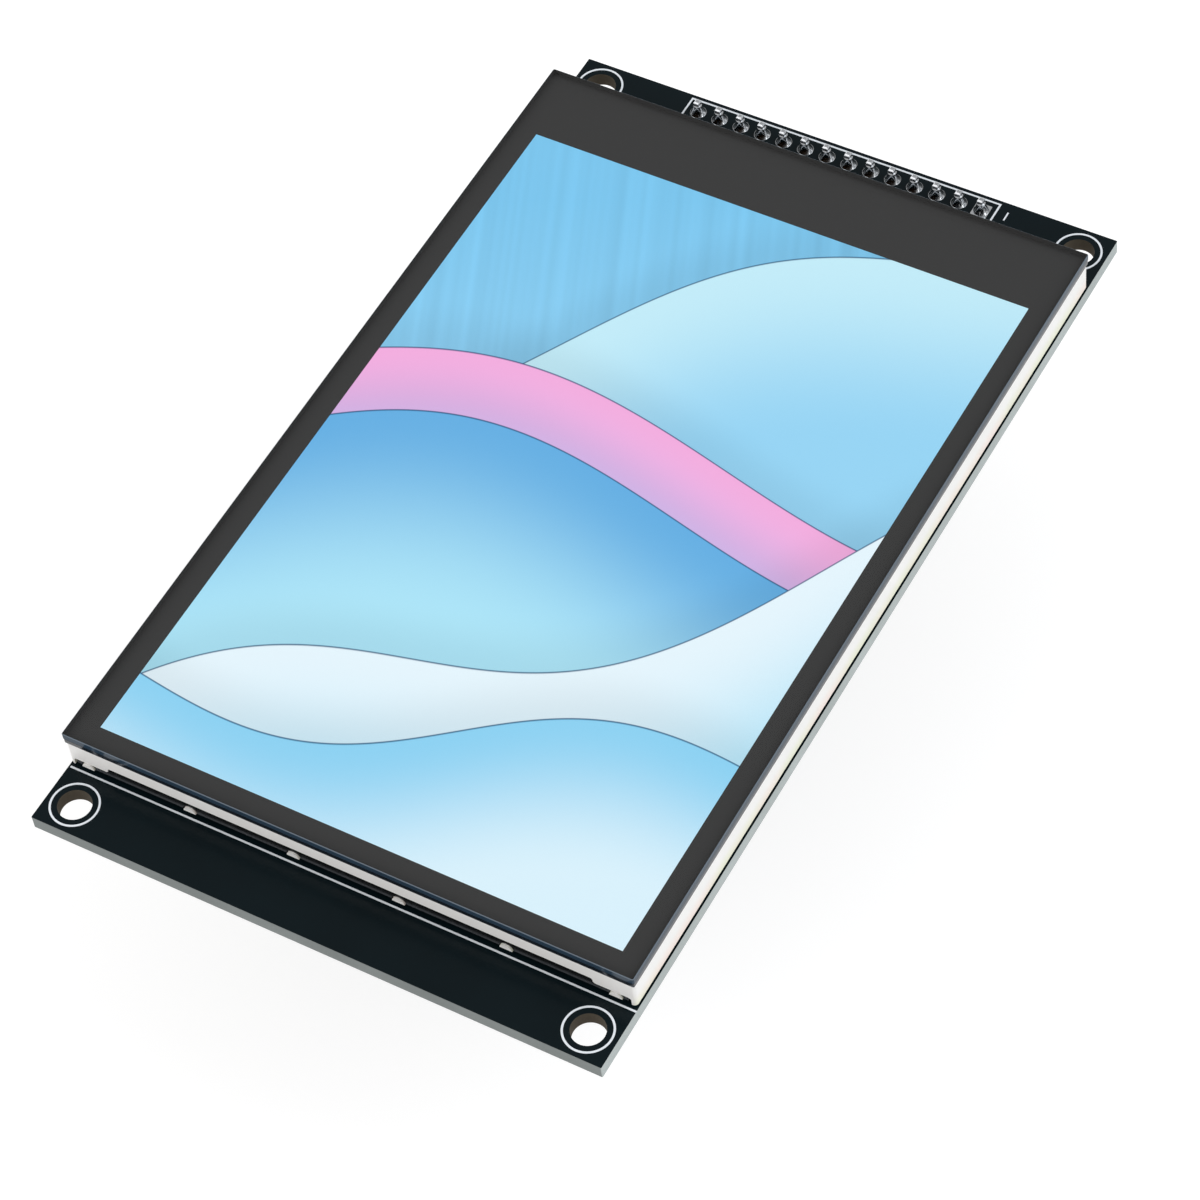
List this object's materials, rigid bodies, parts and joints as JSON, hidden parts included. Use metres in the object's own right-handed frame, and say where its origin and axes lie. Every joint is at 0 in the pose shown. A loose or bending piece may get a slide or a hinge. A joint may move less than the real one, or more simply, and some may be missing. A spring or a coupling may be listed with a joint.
{
  "type": "tft display module",
  "caption": "Touch display module: a dark-bordered cover glass on a white-framed liquid crystal panel, mounted on a black circuit board with corner holes and a pin header.",
  "frame": {"origin": "centre of the four mounting holes, on the circuit board's back face", "axes": "+Z out of the screen, +Y along the long side towards the pin header, +X to the right seen from the front"},
  "size_m": [0.0618, 0.108, 0.0151],
  "materials": {
    "black_laminate": "glossy solder mask",
    "black_moulding": "moulded satin",
    "gold_plated_brass": "plated",
    "solder": "bright solder",
    "foam_tape": "matt",
    "bright_steel": "bright",
    "white_moulding": "satin",
    "reflector_film": "pearl",
    "clear_acrylic": "clear",
    "amber_ribbon": "satin",
    "emitter_body": "moulded",
    "frosted_film": "frosted",
    "dark_film": "smooth",
    "cell_glass": "clear",
    "chip_silicon": "polished",
    "clear_adhesive": "clear",
    "border_ink": "printed",
    "cover_glass": "polished",
    "cream_moulding": "moulded",
    "package_black": "moulded matt",
    "ceramic_tan": "ceramic"
  },
  "bodies": {
    "module": {"circuit_board": "black_laminate", "header_housing": "black_moulding", "header_pins": "gold_plated_brass", "header_solder": "solder", "mounting_tape": "foam_tape", "steel_tray": "bright_steel", "light_frame": "white_moulding", "reflector_film": "reflector_film", "light_guide": "clear_acrylic", "led_strip": "amber_ribbon", "leds": "emitter_body", "diffuser_film": "frosted_film", "lower_prism_film": "frosted_film", "upper_prism_film": "frosted_film", "rim_tape": "foam_tape", "lower_polariser": "dark_film", "tft_glass": "cell_glass", "filter_glass": "cell_glass", "upper_polariser": "dark_film", "driver_chip": "chip_silicon", "display_ribbon": "amber_ribbon", "panel_gasket": "foam_tape", "touch_ribbon": "amber_ribbon", "touch_controller": "package_black", "touch_sensor_glass": "cell_glass", "optical_adhesive": "clear_adhesive", "border_print": "border_ink", "cover_glass": "cover_glass", "ribbon_socket_housing": "cream_moulding", "ribbon_socket_contacts": "gold_plated_brass", "ribbon_socket_tabs": "solder", "card_socket_base": "black_moulding", "card_socket_contacts": "gold_plated_brass", "card_socket_shell": "bright_steel", "regulator_body": "package_black", "regulator_leads": "solder", "transistor_body": "package_black", "transistor_leads": "solder", "resistor_bodies": "package_black", "resistor_caps": "solder", "capacitor_bodies": "ceramic_tan", "capacitor_caps": "solder"},
    "socket_lever": {"ribbon_socket_lever": "black_moulding"}
  },
  "joints": [
    {"name": "socket_lever_hinge", "type": "hinge", "parent": "module", "child": "socket_lever", "pos_m": [0, 0.0401, -0.0015], "axis": [1, 0, 0], "range_deg": [0, 90]}
  ]
}
